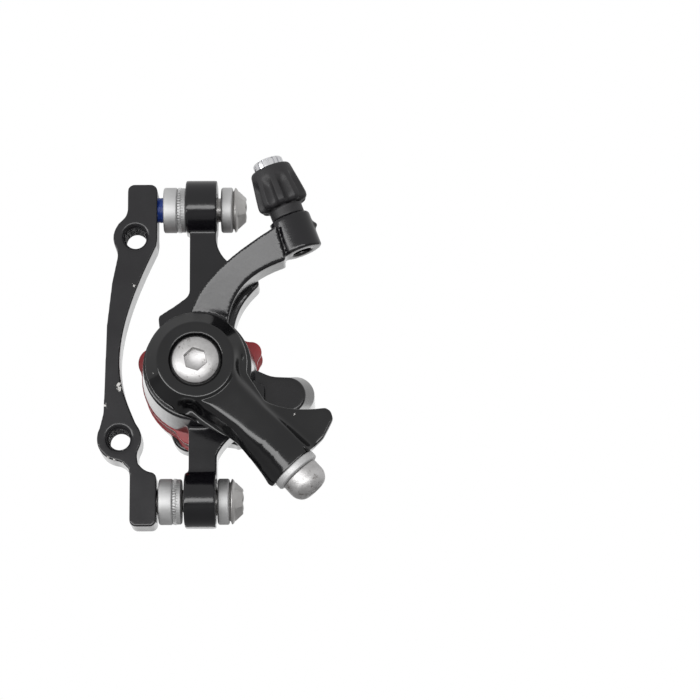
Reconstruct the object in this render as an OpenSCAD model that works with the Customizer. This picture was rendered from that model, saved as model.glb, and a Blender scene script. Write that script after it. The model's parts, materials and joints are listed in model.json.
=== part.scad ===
// Cable-operated disc brake caliper for a bicycle, with its fork adapter.
// X runs from the fork leg towards the cable side, Z runs up along the fork, and Y runs from
// the lever towards the wheel. The origin is midway between the two fork mount holes, on the
// adapter face that meets the fork. Millimetres.

/* [Fork mount] */
// Distance between the two threaded holes that take the fork bolts
fork_hole_spacing = 51; // [49:0.5:54]
// Sideways lean of the line through the fork holes, in degrees
fork_hole_lean = 4; // [3:0.2:5]
// Radius of the threaded fork holes
fork_hole_r = 2.75; // [2.5:0.05:3]
// Widest radius of the chamfer at each fork hole
fork_chamfer_r = 3.6; // [3.3:0.1:4]
// Depth of the chamfer at each fork hole
fork_chamfer_t = 0.5; // [0.4:0.05:0.55]
// Radius of the adapter's round ends about the fork holes
fork_boss_r = 5.5; // [5.2:0.1:6]
// Thickness of the adapter
adapter_t = 10; // [9.4:0.2:11]

/* [Caliper mount] */
// Distance between the two bolts that hold the caliper
post_spacing = 74; // [72:0.5:78]
// Height of the middle of those two bolts
post_mid_z = -3.5; // [-4.3:0.2:-2.9]
// Depth of those bolts behind the adapter face
post_y = 5; // [4.8:0.1:5.4]
// Sideways place of the lower adapter face that carries the washers
post_face_x = 7.5; // [7.3:0.1:7.9]
// Step of the upper adapter face behind the lower one
post_face_step = 0.3; // [0.1:0.1:0.5]
// Width of the adapter's square ends
post_pad_w = 7.4; // [7:0.1:7.8]
// Height of the adapter's square ends
post_pad_h = 13.4; // [12.6:0.2:14.4]
// Radius of the caliper bolt shank
bolt_r = 3; // [2.9:0.05:3.1]
// Radius of the washers and of the bolt's flange
washer_r = 5.7; // [5.4:0.1:6]
// Thickness of the cup washer next to the adapter
cup_washer_t = 3.5; // [3.2:0.1:3.8]
// Thickness of the serrated washer next to the ear
ear_washer_t = 2.2; // [1.9:0.1:2.5]
// Thickness of the washer under the bolt head
head_washer_t = 2.9; // [2.6:0.1:3.2]
// Gap between the adapter and the lower washers
lower_slack = 0.4; // [0.3:0.1:0.6]
// Gap between the adapter and the upper washers, whose bolt is a little loose
upper_slack = 1.4; // [1.1:0.1:1.5]
// Height of the bolt head above its flange
bolt_head_h = 2.5; // [2.2:0.1:2.8]
// Radius of the flat end of the bolt head
bolt_head_top_r = 2.95; // [2.7:0.05:3.2]

/* [Caliper body] */
// Sideways place of the lever axis
hub_x = 17.7; // [17.2:0.1:18.2]
// Height of the lever axis
hub_z = -8.7; // [-9.2:0.1:-8.2]
// Width of each ear along its bolt
ear_w = 7.8; // [7.2:0.1:8.4]
// Radius of the rounded ears
ear_r = 6.7; // [6.4:0.1:7]
// Depth of the middle of the ears, whose bolts sit behind it in their slots
ear_mid_y = 3.6; // [3.5:0.1:4]
// Sideways travel that the slots in the ears allow, each way
ear_slot = 1.5; // [1:0.1:2]
// Width of the upper neck
neck_w = 6.6; // [6:0.1:7.2]
// Depth of the front face of the necks
flange_y = 0; // [-0.6:0.1:0.4]
// Depth of the front face of the drum
drum_front_y = -6.5; // [-6.8:0.1:-6.2]
// Radius of the drum at its front face
drum_front_r = 13.3; // [13:0.1:13.6]
// Radius of the drum where the pads lie
drum_back_r = 14.4; // [14.2:0.1:14.8]
// Depth of the front wall of the pad slot
slot_front_y = 9.3; // [9.1:0.1:9.5]
// Width of the pad slot
slot_w = 12.4; // [12.2:0.1:12.8]
// Depth of the back face of the caliper
back_y = 31.5; // [31:0.1:33]
// Radius of the back drum
back_drum_r = 14.1; // [13.6:0.1:14.6]
// Thickness of the sloping cable stop arm
stop_arm_t = 9; // [8.4:0.1:9.6]
// Rise of the cable stop arm towards the rider's side, in degrees
stop_arm_slope = 22; // [19:1:25]

/* [Lever] */
// Radius of the lever's hub
lever_hub_r = 12.45; // [12.2:0.05:12.7]
// Depth of the raised front of the hub
lever_front_y = -15.2; // [-15.6:0.1:-14.8]
// Depth of the back of the hub
lever_back_y = -8; // [-8.2:0.1:-7.8]
// Radius of the raised front of the hub
lever_plateau_r = 9.3; // [8.8:0.1:9.8]
// Radius of the lever screw's head
lever_screw_r = 5.9; // [5.6:0.1:6.2]
// Radius at which the cable leaves the lever
cable_radius = 36.3; // [35.9:0.1:36.7]
// Angle that the lever swings through
lever_swing = 32; // [26:1:34]
// Radius of the cable clamp washer
clamp_washer_r = 5.9; // [5.6:0.1:6.2]
// Radius of the cable clamp bolt's head
clamp_head_r = 4.95; // [4.6:0.05:5.2]

/* [Barrel adjuster] */
// Lean of the barrel adjuster from upright
barrel_lean = 20.8; // [18:0.2:24]
// Radius of the boss that holds the barrel
boss_r = 5.15; // [4.9:0.05:5.4]
// Length of the boss
boss_h = 9.1; // [8.6:0.1:9.8]
// Length of the knob's smooth skirt
skirt_h = 2.9; // [2.6:0.1:3.4]
// Length of the fluted part of the knob
knob_h = 10.5; // [10:0.1:11.2]
// Radius of the knob at its lower end
knob_r = 6.3; // [6.1:0.1:6.6]
// Radius of the knob at its upper end
knob_top_r = 5.15; // [5:0.05:5.4]
// Number of flutes round the knob
flute_count = 9; // [7:1:11]
// Radius of the threaded stem
stem_r = 3; // [2.9:0.05:3.1]
// Radius of the socket for the cable housing
housing_socket_r = 2.6; // [2.5:0.05:2.7]

/* [Pads and drive] */
// Radius of the round part of each pad
pad_r = 14.6; // [14.2:0.1:14.9]
// Thickness of a pad's steel plate
pad_plate_t = 1.8; // [1.6:0.1:2]
// Thickness of a pad's lining
pad_lining_t = 2; // [1.8:0.1:2.1]
// Radius of the piston
piston_r = 9.4; // [9:0.1:9.8]
// Radius of the steel balls between spindle and piston
ball_r = 2; // [1.9:0.05:2.1]
// Distance that the piston moves over the lever's swing
piston_travel = 1.5; // [1.2:0.1:1.7]
// Radius of the round part of the spindle
spindle_r = 5; // [4.9:0.05:5.1]
// Width across the flats of the spindle's square end
square_w = 7; // [6.8:0.1:7.05]
// Radius of the screw that adjusts the inner pad
adjuster_r = 8; // [7.8:0.1:8.2]

/* [Hidden] */
$fn = 48;
run_fit = 0.06;
seat_gap = 0.3;
fillet = 2.5;
corner = 1.1;
up_z = post_mid_z + post_spacing / 2;
low_z = post_mid_z - post_spacing / 2;
fork_x = fork_hole_spacing / 2 * sin(fork_hole_lean);
fork_z = fork_hole_spacing / 2 * cos(fork_hole_lean);
upper_face_x = post_face_x - post_face_step;
ear_x = upper_face_x + upper_slack + cup_washer_t + ear_washer_t + 0.05;
slot_back_y = slot_front_y + slot_w;
bushing_r = spindle_r + 1.1;
drum_wall_y = -2.8;
thrust_washer_t = 0.8;
cam_front_y = drum_wall_y + thrust_washer_t + 0.1;
cam_back_y = cam_front_y + 3.4;
ball_y = cam_back_y + 1.1;
cage_t = 1;
ball_rim = 1.4;
ball_circle_r = piston_r - ball_r - ball_rim;
piston_front_y = ball_y + 1.1;
piston_back_y = slot_front_y + seat_gap;
plate_outer_y = piston_back_y;
lining_outer_y = plate_outer_y + pad_plate_t;
plate_inner_y = slot_back_y - seat_gap - pad_plate_t;
lining_inner_y = plate_inner_y - pad_lining_t;
magnet_r = 3;
magnet_t = 1.8;
adjuster_front_y = slot_back_y - seat_gap;
adjuster_back_y = back_y - 1.6;
clip_t = 0.8;
square_half = square_w / 2;
screw_seat_y = lever_front_y + 1.4;
barrel_y = -10;
barrel_x = 43.6;
barrel_z = 19.1;
knob_z = boss_h + skirt_h;
cable_hole_r = 1.4;
seat_tip_h = 2.2;
seat_r = 3.8;
clamp_r = cable_radius - 1.4;
clamp_angle = -47.4;
clamp_y = -10.3;
clamp_bolt_r = 2.5;
clamp_washer_t = 2;
clamp_head_h = 6;
clamp_dome_r = 7.6;
ball_count = 3;
pad_lobe_r = 4.4;
pad_tab_r = 2.6;
lining_step = 0.7;
bridge_front = [39.6, -14.3];
bridge_front_r = 4.5;
bridge_back = [41.5, -12.7];
bridge_back_r = 4.8;
lever_plate_t = 4;
spring_room = 4;
seal_t = 1.55;
spring_r = lever_hub_r - 3.65;
spring_wire_r = 0.55;
spring_turns = 3.25;
spring_pitch = 1.2;

// Points on a cubic curve from p0 to p3
function curve(p0, p1, p2, p3, steps = 14) = [
    for (i = [0 : steps])
        let (t = i / steps, u = 1 - t)
        u * u * u * p0 + 3 * u * u * t * p1 + 3 * u * t * t * p2 + t * t * t * p3
];

// A point at a distance and an angle from the lever axis
function about_hub(r, a) = [hub_x + r * cos(a), hub_z + r * sin(a)];

// A flat X-Z outline given depth from y0 to y1
module plate(y0, y1) {
    translate([0, y1, 0]) rotate([90, 0, 0]) linear_extrude(y1 - y0) children();
}

// A round bar or hole along Y from y0 to y1
module along_y(p, r, y0, y1) {
    translate([p[0], y0, p[1]]) rotate([-90, 0, 0]) cylinder(r = r, h = y1 - y0);
}

// A tapered round along Y from y0 to y1
module cone_y(p, r0, r1, y0, y1) {
    translate([p[0], y0, p[1]]) rotate([-90, 0, 0]) cylinder(r1 = r0, r2 = r1, h = y1 - y0);
}

// A round bar or hole along X from x0 to x1, on a caliper bolt's axis
module along_x(z, r, x0, x1) {
    translate([x0, post_y, z]) rotate([0, 90, 0]) cylinder(r = r, h = x1 - x0);
}

// Round inner corners of an outline, then its outer ones
module soften(inner = fillet, outer = corner) {
    offset(r = outer) offset(r = -outer - inner) offset(r = inner) children();
}

// Frame of the barrel adjuster, whose Z runs up its axis from the underside of the boss
module barrel_frame() {
    translate([barrel_x, barrel_y, barrel_z]) rotate([0, -barrel_lean, 0]) children();
}

// Frame of the cable clamp, whose Z runs out of the lever's end face
module clamp_frame() {
    translate([about_hub(clamp_r, clamp_angle)[0], clamp_y, about_hub(clamp_r, clamp_angle)[1]])
        rotate([0, 90 - clamp_angle, 0]) children();
}

// Bracket between the fork and the caliper
module adapter_outline() {
    soften(4, 1.6) {
        translate([upper_face_x - post_pad_w, up_z - 8.7]) square([post_pad_w, post_pad_h + 0.8]);
        translate([post_face_x - post_pad_w + 0.8, low_z - post_pad_h / 2])
            square([post_pad_w - 0.8, post_pad_h]);
        translate([fork_x, fork_z]) circle(r = fork_boss_r);
        translate([-fork_x, -fork_z]) circle(r = fork_boss_r);
        polygon(concat(
            [[fork_x - fork_boss_r + 1.2, fork_z - 4.6], [-3.9, 14], [-5.1, 3], [-5.5, -12],
             [-5.7, -19], [-fork_x - fork_boss_r + 0.4, -fork_z + 1.5]],
            curve([-fork_x + fork_boss_r - 0.4, -fork_z + 1], [0.6, -17], [-1.8, -14], [-1.9, -6]),
            curve([-1.9, -6], [-1.7, 4], [2.6, 14], [fork_x + fork_boss_r - 0.2, fork_z - 2])
        ));
    }
}

module adapter() {
    color("#1b1b1d")
    difference() {
        plate(0, adapter_t) adapter_outline();
        for (side = [1, -1]) {
            at = [side * fork_x, side * fork_z];
            along_y(at, fork_hole_r, -1, adapter_t + 1);
            cone_y(at, 2 * fork_chamfer_r - fork_hole_r, fork_hole_r, -fork_chamfer_t, fork_chamfer_t);
        }
        along_x(up_z, bolt_r + run_fit, 0.4, post_face_x + 1);
        along_x(low_z, bolt_r + run_fit, 1.6, post_face_x + 1);
    }
}

// Ear that a caliper bolt passes through, with its slot
module ear(z) {
    for (side = [-1, 1])
        translate([0, ear_mid_y - post_y + side * ear_slot, 0]) along_x(z, ear_r, ear_x, ear_x + ear_w);
    translate([ear_x, ear_mid_y - ear_slot, z - ear_r]) cube([ear_w, 2 * ear_slot, 2 * ear_r]);
}

module ear_slot_cut(z) {
    slot_r = bolt_r + 0.35;
    for (side = [-1, 1])
        translate([0, ear_mid_y - post_y + side * ear_slot, 0])
            along_x(z, slot_r, ear_x - 1, ear_x + ear_w + 1);
    translate([ear_x - 1, ear_mid_y - ear_slot, z - slot_r]) cube([ear_w + 2, 2 * ear_slot, 2 * slot_r]);
}

// Outline of the two necks with the shoulder, the rib and the lower flare
module flange_outline() {
    neck_x = ear_x + 1;
    soften() {
        translate([neck_x, hub_z]) square([neck_w, up_z - hub_z - 4]);
        translate([neck_x, low_z + 4]) square([neck_w + 0.4, hub_z - low_z - 4]);
        translate([hub_x, hub_z]) circle(r = drum_front_r);
        polygon([[7.6, 5.2], [12, 8.1], [neck_x, 10.6], [neck_x + 4, 12], [hub_x, hub_z], [8, 2]]);
        polygon(concat(
            [[neck_x, 24.5], [neck_x + neck_w, 24.5]],
            curve([neck_x + neck_w, 24.5], [23, 19], [27, 17.5], [32, 15.8], 8),
            curve([32.8, 13.2], [28.4, 9], [26.8, 6], [26.2, 0], 8),
            [[hub_x, hub_z]]
        ));
        polygon(concat(
            [[neck_x, -30], [neck_x + neck_w, -30.5]],
            curve([neck_x + neck_w, -30.5], [24, -25.5], [28, -23], [34, -20.5], 8),
            [[34, -12], [hub_x, hub_z]]
        ));
    }
}

// Web of the bridge that joins the two halves round the outside of the rotor
module bridge_outline(at, r) {
    soften(6, 0.5) {
        translate(at) circle(r = r);
        polygon([[at[0], at[1] + r], [35.6, at[1] + r + 0.3], [31, -7.5], [28, -5], [26, -24], [32, -21],
            [at[0], at[1] - r]]);
    }
}

// The bridge widens towards the wheel, past the step between its two end rounds
module bridge() {
    hull() {
        along_y(bridge_front, bridge_front_r, 2.6, 3, $fn = 32);
        along_y(bridge_back, bridge_back_r, 12, 13, $fn = 32);
    }
    plate(2.5, 13) bridge_outline(bridge_front, bridge_front_r);
    plate(12.5, back_y - 2) bridge_outline(bridge_back, bridge_back_r);
}

// Curved arm that carries the barrel adjuster, sloped towards the lever side
module cable_stop_arm() {
    intersection() {
        plate(-24, 8)
            polygon(concat(
                curve([15.5, 4], [17.2, 12.5], [26, 18.8], [37.2, 24.6]),
                curve([39.6, 16.4], [31, 14.2], [26, 10.4], [25, 1.6]),
                [[hub_x, hub_z]]
            ));
        translate([23, drum_front_y, 7.6]) rotate([0, -41, 0]) rotate([0, 0, -stop_arm_slope])
            translate([-40, 0, -40]) cube([80, stop_arm_t, 80]);
    }
    barrel_frame() cylinder(r = boss_r, h = boss_h);
}

module back_half() {
    plate(slot_back_y, back_y - 2)
        soften(4, 1) {
            translate([hub_x, hub_z]) circle(r = back_drum_r);
            translate(about_hub(12, -104)) circle(r = 4.9);
            polygon([about_hub(back_drum_r, 30), [33, -6], [40, -7.9], [40, -17.5], [28, -23.5],
                about_hub(back_drum_r, -80)]);
        }
    along_y([hub_x, hub_z], back_drum_r - 2, back_y - 2, back_y);
}

module caliper_body() {
    color("#17171a")
    difference() {
        union() {
            cone_y([hub_x, hub_z], drum_front_r, drum_back_r, drum_front_y, slot_front_y);
            plate(flange_y, slot_front_y) flange_outline();
            ear(up_z);
            ear(low_z);
            cable_stop_arm();
            bridge();
            back_half();
        }
        ear_slot_cut(up_z);
        ear_slot_cut(low_z);
        along_y([hub_x, hub_z], bushing_r + run_fit, drum_front_y - 1, drum_wall_y + 1);
        along_y([hub_x, hub_z], piston_r + run_fit, drum_wall_y, slot_front_y + 1);
        translate([-20, slot_front_y, -60]) cube([52.8, slot_w, 85]);
        along_y([hub_x, hub_z], adjuster_r + run_fit, slot_back_y - 1, back_y + 1);
        along_y([hub_x, hub_z], adjuster_r + 0.9, adjuster_back_y, adjuster_back_y + clip_t + 0.1);
        barrel_frame() {
            translate([0, 0, -2]) cylinder(r = 2.2, h = 6);
            translate([0, 0, 2]) cylinder(r = stem_r + run_fit, h = boss_h);
        }
    }
}

// Caliper bolt with a flanged, domed head
module mount_bolt(z, tip_x, head_x) {
    color("#b9babc")
    difference() {
        union() {
            along_x(z, bolt_r, tip_x, head_x);
            along_x(z, washer_r - 0.1, head_x, head_x + 0.9);
            translate([head_x + 0.9, post_y, z]) rotate([0, 90, 0])
                cylinder(r1 = washer_r - 0.1, r2 = bolt_head_top_r, h = bolt_head_h);
        }
        translate([head_x + bolt_head_h - 2, post_y, z]) rotate([0, 90, 0])
            cylinder(r = 2.3, h = 4, $fn = 6);
    }
}

// Washer on a caliper bolt, with a hollow seat of radius seat on its right face
module bolt_washer(z, x, t, serrated = false) {
    color("#c3c4c6")
    difference() {
        along_x(z, washer_r, x, x + t);
        along_x(z, bolt_r + 0.25, x - 1, x + t + 1);
        if (serrated)
            for (i = [0 : 17])
                translate([x, post_y, z]) rotate([i * 20, 0, 0])
                    translate([0, 0, washer_r]) rotate([0, 0, 45])
                        translate([-0.3, -0.3, -1.2]) cube([0.6, 0.6, 2.4]);
    }
}

module upper_mount_bolt() {
    mount_bolt(up_z, 1, ear_x + ear_w + head_washer_t + 0.9);
}

module upper_cup_washer() {
    bolt_washer(up_z, upper_face_x + upper_slack, cup_washer_t);
}

module upper_serrated_washer() {
    bolt_washer(up_z, upper_face_x + upper_slack + cup_washer_t, ear_washer_t, true);
}

module upper_head_washer() {
    bolt_washer(up_z, ear_x + ear_w + 0.9, head_washer_t);
}

module lower_mount_bolt() {
    mount_bolt(low_z, 2.2, ear_x + ear_w + head_washer_t + 0.3);
}

module lower_cup_washer() {
    bolt_washer(low_z, post_face_x + lower_slack, cup_washer_t);
}

module lower_serrated_washer() {
    bolt_washer(low_z, post_face_x + lower_slack + cup_washer_t, ear_washer_t, true);
}

module lower_head_washer() {
    bolt_washer(low_z, ear_x + ear_w + 0.3, head_washer_t);
}

// A point of the lever's outline: its share of the cable radius, and its angle
function lever_at(share, a) = about_hub(cable_radius * share, a);

// Full outline of the lever behind its ridge
module lever_outline() {
    translate([hub_x, hub_z]) circle(r = lever_hub_r, $fn = 96);
    polygon(concat(
        curve(lever_at(0.33, -16), lever_at(0.466, -35.9), lever_at(0.683, -30.8), lever_at(0.921, -19.6)),
        [lever_at(0.962, -20.1)],
        [for (a = [-22.5 : -2.5 : -37.5]) lever_at(1, a)],
        [lever_at(0.986, -58.5)],
        curve(lever_at(0.956, -59.5), lever_at(0.741, -57.9), lever_at(0.443, -66.9), lever_at(0.342, -109)),
        [[hub_x, hub_z]]
    ));
}

// Raised spine of the lever between two stations, narrower at its front
module spine(front, back) {
    hull() {
        plate(-14.3, -14.2) polygon(front);
        plate(-11, -10) polygon(back);
    }
}

module lever_arm() {
    color("#141416")
    difference() {
        union() {
            plate(lever_back_y - lever_plate_t, lever_back_y) lever_outline();
            cone_y([hub_x, hub_z], lever_plateau_r, lever_hub_r, lever_front_y, lever_back_y - lever_plate_t);
            spine([lever_at(0.267, -106), lever_at(0.246, -5.1), lever_at(0.545, -35.5), lever_at(0.536, -55.9)],
                [lever_at(0.361, -116), lever_at(0.312, -4), lever_at(0.571, -31.4), lever_at(0.58, -63.8)]);
            spine([lever_at(0.536, -55.9), lever_at(0.545, -35.5), lever_at(0.894, -38.7), lever_at(0.902, -53.4)],
                [lever_at(0.58, -63.8), lever_at(0.571, -31.4), lever_at(0.995, -37.3), lever_at(0.973, -58.8)]);
            clamp_frame() translate([-4.6, -5, -5]) cube([11, 10, 5]);
        }
        clamp_frame() {
            translate([-20, -20, 0]) cube([40, 40, 20]);
            translate([0, 0, -12]) cylinder(r = clamp_bolt_r + run_fit, h = 14);
        }
        along_y([hub_x, hub_z], lever_screw_r + 0.6, lever_front_y - 1, screw_seat_y);
        translate([hub_x - square_half - run_fit, -30, hub_z - square_half - run_fit])
            cube([square_w + 2 * run_fit, 30, square_w + 2 * run_fit]);
        difference() {
            along_y([hub_x, hub_z], lever_hub_r - seal_t - 0.3, lever_back_y - spring_room, lever_back_y + 1);
            along_y([hub_x, hub_z], spindle_r + 2.2, lever_back_y - spring_room - 1, lever_back_y + 2);
        }
        translate([hub_x, clamp_y, hub_z]) rotate([90, 0, 0])
            rotate([0, 0, -46]) rotate_extrude(angle = 34)
                translate([cable_radius + 0.2, 0]) circle(r = 1.1);
    }
}

// Button head screw that holds the lever on the spindle
module lever_screw() {
    color("#c9c9cb")
    difference() {
        union() {
            along_y([hub_x, hub_z], 2.95, screw_seat_y, drum_front_y);
            intersection() {
                along_y([hub_x, hub_z], lever_screw_r, screw_seat_y - 3.2, screw_seat_y);
                translate([hub_x, screw_seat_y + 4.6, hub_z]) sphere(r = 7.7);
            }
        }
        along_y([hub_x, hub_z], 2.9, screw_seat_y - 4, screw_seat_y - 0.9, $fn = 6);
    }
}

// Shaft that the lever turns, with a disc that drives the balls
module drive_spindle() {
    color("#8d8f93")
    difference() {
        union() {
            translate([hub_x - square_half, screw_seat_y + 0.1, hub_z - square_half])
                cube([square_w, lever_back_y - screw_seat_y, square_w]);
            along_y([hub_x, hub_z], spindle_r, lever_back_y, cam_front_y + 1);
            along_y([hub_x, hub_z], piston_r - 0.3, cam_front_y, cam_back_y);
        }
        along_y([hub_x, hub_z], 3, screw_seat_y - 1, drum_front_y + 2);
        for (i = [0 : ball_count - 1])
            ball_ramp(i, -lever_swing / 2, piston_travel / 2);
    }
}

// Groove that a ball rolls in, from one angle and depth to another, seen from the moving disc
module ball_ramp(i, turn, rise) {
    r = ball_r + seat_gap + 0.1;
    a0 = i * 360 / ball_count + 90;
    p0 = about_hub(ball_circle_r, a0);
    p1 = about_hub(ball_circle_r, a0 + turn);
    d = [p1[0] - p0[0], rise, p1[1] - p0[1]];
    len = norm(d);
    translate([p0[0], ball_y, p0[1]]) sphere(r = r);
    translate([p1[0], ball_y + rise, p1[1]]) sphere(r = r);
    translate([p0[0], ball_y, p0[1]])
        rotate([0, acos(d[2] / len), atan2(d[1], d[0])]) cylinder(r = ball_r + seat_gap, h = len);
}

module dust_seal() {
    color("#232325")
    difference() {
        along_y([hub_x, hub_z], lever_hub_r - 0.2, lever_back_y + seat_gap, drum_front_y);
        along_y([hub_x, hub_z], lever_hub_r - seal_t, lever_back_y - 1, drum_front_y + 1);
    }
}

// Coil of the torsion spring, swept as one closed skin
module return_spring() {
    sides = 8;
    rings = 66;
    rise = spring_turns * spring_pitch;
    points = [
        for (k = [0 : rings])
            let (a = k / rings * spring_turns * 360)
            for (j = [0 : sides - 1])
                let (b = j / sides * 360, r = spring_r + spring_wire_r * cos(b))
                [hub_x + r * cos(a), drum_front_y - spring_wire_r - 0.05 - k / rings * rise
                    + spring_wire_r * sin(b), hub_z + r * sin(a)]
    ];
    skin = [
        for (k = [0 : rings - 1])
            for (j = [0 : sides - 1])
                [k * sides + j, k * sides + (j + 1) % sides,
                 (k + 1) * sides + (j + 1) % sides, (k + 1) * sides + j]
    ];
    ends = [[for (j = [sides - 1 : -1 : 0]) j], [for (j = [0 : sides - 1]) rings * sides + j]];
    color("#9a9ca0") polyhedron(points, concat(skin, ends));
}

module spindle_bushing() {
    color("#3c3c40")
    difference() {
        along_y([hub_x, hub_z], bushing_r, drum_front_y, drum_wall_y);
        along_y([hub_x, hub_z], spindle_r + run_fit, drum_front_y - 1, drum_wall_y + 1);
    }
}

module thrust_washer() {
    color("#a5a7aa")
    difference() {
        along_y([hub_x, hub_z], piston_r - 0.5, drum_wall_y, drum_wall_y + thrust_washer_t);
        along_y([hub_x, hub_z], spindle_r + 0.3, drum_wall_y - 1, drum_wall_y + 2);
    }
}

module ball_cage() {
    color("#caa14b")
    difference() {
        along_y([hub_x, hub_z], piston_r - 0.5, ball_y - cage_t / 2, ball_y + cage_t / 2);
        along_y([hub_x, hub_z], 2.5, ball_y - 2, ball_y + 2);
        for (i = [0 : ball_count - 1])
            along_y(about_hub(ball_circle_r, i * 360 / ball_count + 90), ball_r + run_fit,
                ball_y - 2, ball_y + 2);
    }
}

module drive_balls() {
    color("#d5d6d8")
    for (i = [0 : ball_count - 1])
        translate([about_hub(ball_circle_r, i * 360 / ball_count + 90)[0], ball_y,
            about_hub(ball_circle_r, i * 360 / ball_count + 90)[1]]) sphere(r = ball_r);
}

module piston() {
    color("#77797d")
    difference() {
        along_y([hub_x, hub_z], piston_r, piston_front_y, piston_back_y);
        along_y([hub_x, hub_z], magnet_r + run_fit, piston_back_y - magnet_t, piston_back_y + 1);
        for (i = [0 : ball_count - 1])
            ball_ramp(i, lever_swing / 2, -piston_travel / 2);
    }
}

module piston_magnet() {
    color("#bfc1c4") along_y([hub_x, hub_z], magnet_r, piston_back_y - magnet_t, piston_back_y);
}

// Outline shared by both pads: a disc with a pull tab and two locating lobes
module pad_outline(shrink = 0) {
    soften(3, 0.8) {
        translate([hub_x, hub_z]) circle(r = pad_r - shrink);
        translate(about_hub(pad_r - 2.4, 161)) circle(r = pad_lobe_r - 0.4 - shrink);
        translate(about_hub(pad_r - 2.2, 262)) circle(r = pad_lobe_r - shrink);
        if (shrink == 0)
            for (out = [-2.2, -0.2])
                translate(about_hub(pad_r + out, 28)) circle(r = pad_tab_r);
    }
}

module outer_pad_plate() {
    color("#b3202b") plate(plate_outer_y, plate_outer_y + pad_plate_t) pad_outline();
}

module outer_pad_lining() {
    color("#6f625b") plate(lining_outer_y, lining_outer_y + pad_lining_t) pad_outline(lining_step);
}

module inner_pad_plate() {
    color("#b3202b") plate(plate_inner_y, plate_inner_y + pad_plate_t) pad_outline();
}

module inner_pad_lining() {
    color("#6f625b") plate(lining_inner_y, lining_inner_y + pad_lining_t) pad_outline(lining_step);
}

// Threaded foot behind the inner pad, turned with a hex key from the wheel side
module pad_adjuster() {
    color("#97999d")
    difference() {
        along_y([hub_x, hub_z], adjuster_r, adjuster_front_y, adjuster_back_y);
        along_y([hub_x, hub_z], magnet_r + run_fit, adjuster_front_y - 1, adjuster_front_y + magnet_t);
        along_y([hub_x, hub_z], 2.9, adjuster_back_y - 4, adjuster_back_y + 1, $fn = 6);
    }
}

module pad_adjuster_magnet() {
    color("#bfc1c4") along_y([hub_x, hub_z], magnet_r, adjuster_front_y, adjuster_front_y + magnet_t);
}

// Open ring in a groove that keeps the adjuster from backing out
module pad_adjuster_clip() {
    color("#4a4b4e")
    difference() {
        along_y([hub_x, hub_z], adjuster_r + 0.8, adjuster_back_y + 0.05, adjuster_back_y + clip_t);
        along_y([hub_x, hub_z], adjuster_r - 0.9, adjuster_back_y - 1, adjuster_back_y + 3);
        translate([hub_x - 1.2, adjuster_back_y - 1, hub_z]) cube([2.4, 4, 12]);
    }
}

module cable_clamp_bolt() {
    color("#c6c7c9")
    clamp_frame() {
        difference() {
            union() {
                translate([0, 0, -8]) cylinder(r = clamp_bolt_r, h = 9 + clamp_washer_t);
                intersection() {
                    translate([0, 0, clamp_washer_t]) cylinder(r = clamp_head_r, h = clamp_head_h);
                    translate([0, 0, clamp_washer_t + clamp_head_h - clamp_dome_r]) sphere(r = clamp_dome_r);
                }
            }
            translate([0, 0, clamp_washer_t + clamp_head_h - 3]) cylinder(r = 2.3, h = 6, $fn = 6);
        }
    }
}

module cable_clamp_washer() {
    color("#c6c7c9")
    clamp_frame()
        difference() {
            cylinder(r = clamp_washer_r, h = clamp_washer_t);
            translate([0, 0, -1]) cylinder(r = clamp_bolt_r + 0.15, h = 6);
        }
}

// Moulded knob with flutes that run out below a smooth band
module barrel_knob() {
    color("#202022")
    barrel_frame()
        difference() {
            union() {
                translate([0, 0, boss_h + 0.1]) cylinder(r = 4.2, h = skirt_h + 1);
                rotate_extrude()
                    polygon([[3.1, knob_z], [knob_r - 1.6, knob_z], [knob_r, knob_z + 1.5],
                        [knob_r - 0.1, knob_z + 3], [knob_top_r + 0.2, knob_z + knob_h - 1.4],
                        [knob_top_r - 0.8, knob_z + knob_h], [3.1, knob_z + knob_h]]);
            }
            translate([0, 0, boss_h - 1]) cylinder(r = stem_r + run_fit, h = 40);
            translate([0, 0, knob_z + knob_h - 1]) cylinder(r = seat_r + run_fit, h = 4);
            for (i = [0 : flute_count - 1])
                rotate([0, 0, i * 360 / flute_count])
                    translate([knob_r + 0.55, 0, knob_z - 1]) rotate([0, -7, 0])
                        cylinder(r = 1.35, h = knob_h * 0.78);
        }
}

// Threaded tube that the knob turns in the boss
module barrel_stem() {
    color("#a9abad")
    barrel_frame()
        difference() {
            translate([0, 0, 2.4]) cylinder(r = stem_r, h = knob_z + 3 - 2.4);
            translate([0, 0, 1]) cylinder(r = cable_hole_r, h = 40);
        }
}

// Bright end cup that takes the cable housing
module housing_seat() {
    color("#dfe0e2")
    barrel_frame()
        difference() {
            union() {
                translate([0, 0, knob_z + 3.3]) cylinder(r = stem_r, h = knob_h - 4.3);
                translate([0, 0, knob_z + knob_h - 1]) cylinder(r = seat_r, h = seat_tip_h + 1);
            }
            translate([0, 0, knob_z + 4.3]) cylinder(r = housing_socket_r, h = 20);
            translate([0, 0, knob_z]) cylinder(r = cable_hole_r, h = 20);
        }
}

adapter();
caliper_body();
upper_mount_bolt();
upper_cup_washer();
upper_serrated_washer();
upper_head_washer();
lower_mount_bolt();
lower_cup_washer();
lower_serrated_washer();
lower_head_washer();
lever_arm();
lever_screw();
drive_spindle();
dust_seal();
return_spring();
spindle_bushing();
thrust_washer();
ball_cage();
drive_balls();
piston();
piston_magnet();
outer_pad_plate();
outer_pad_lining();
inner_pad_plate();
inner_pad_lining();
pad_adjuster();
pad_adjuster_magnet();
pad_adjuster_clip();
cable_clamp_bolt();
cable_clamp_washer();
barrel_knob();
barrel_stem();
housing_seat();
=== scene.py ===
import json
import math

import bmesh
import bpy
import numpy as np
from mathutils import Matrix, Vector


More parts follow.
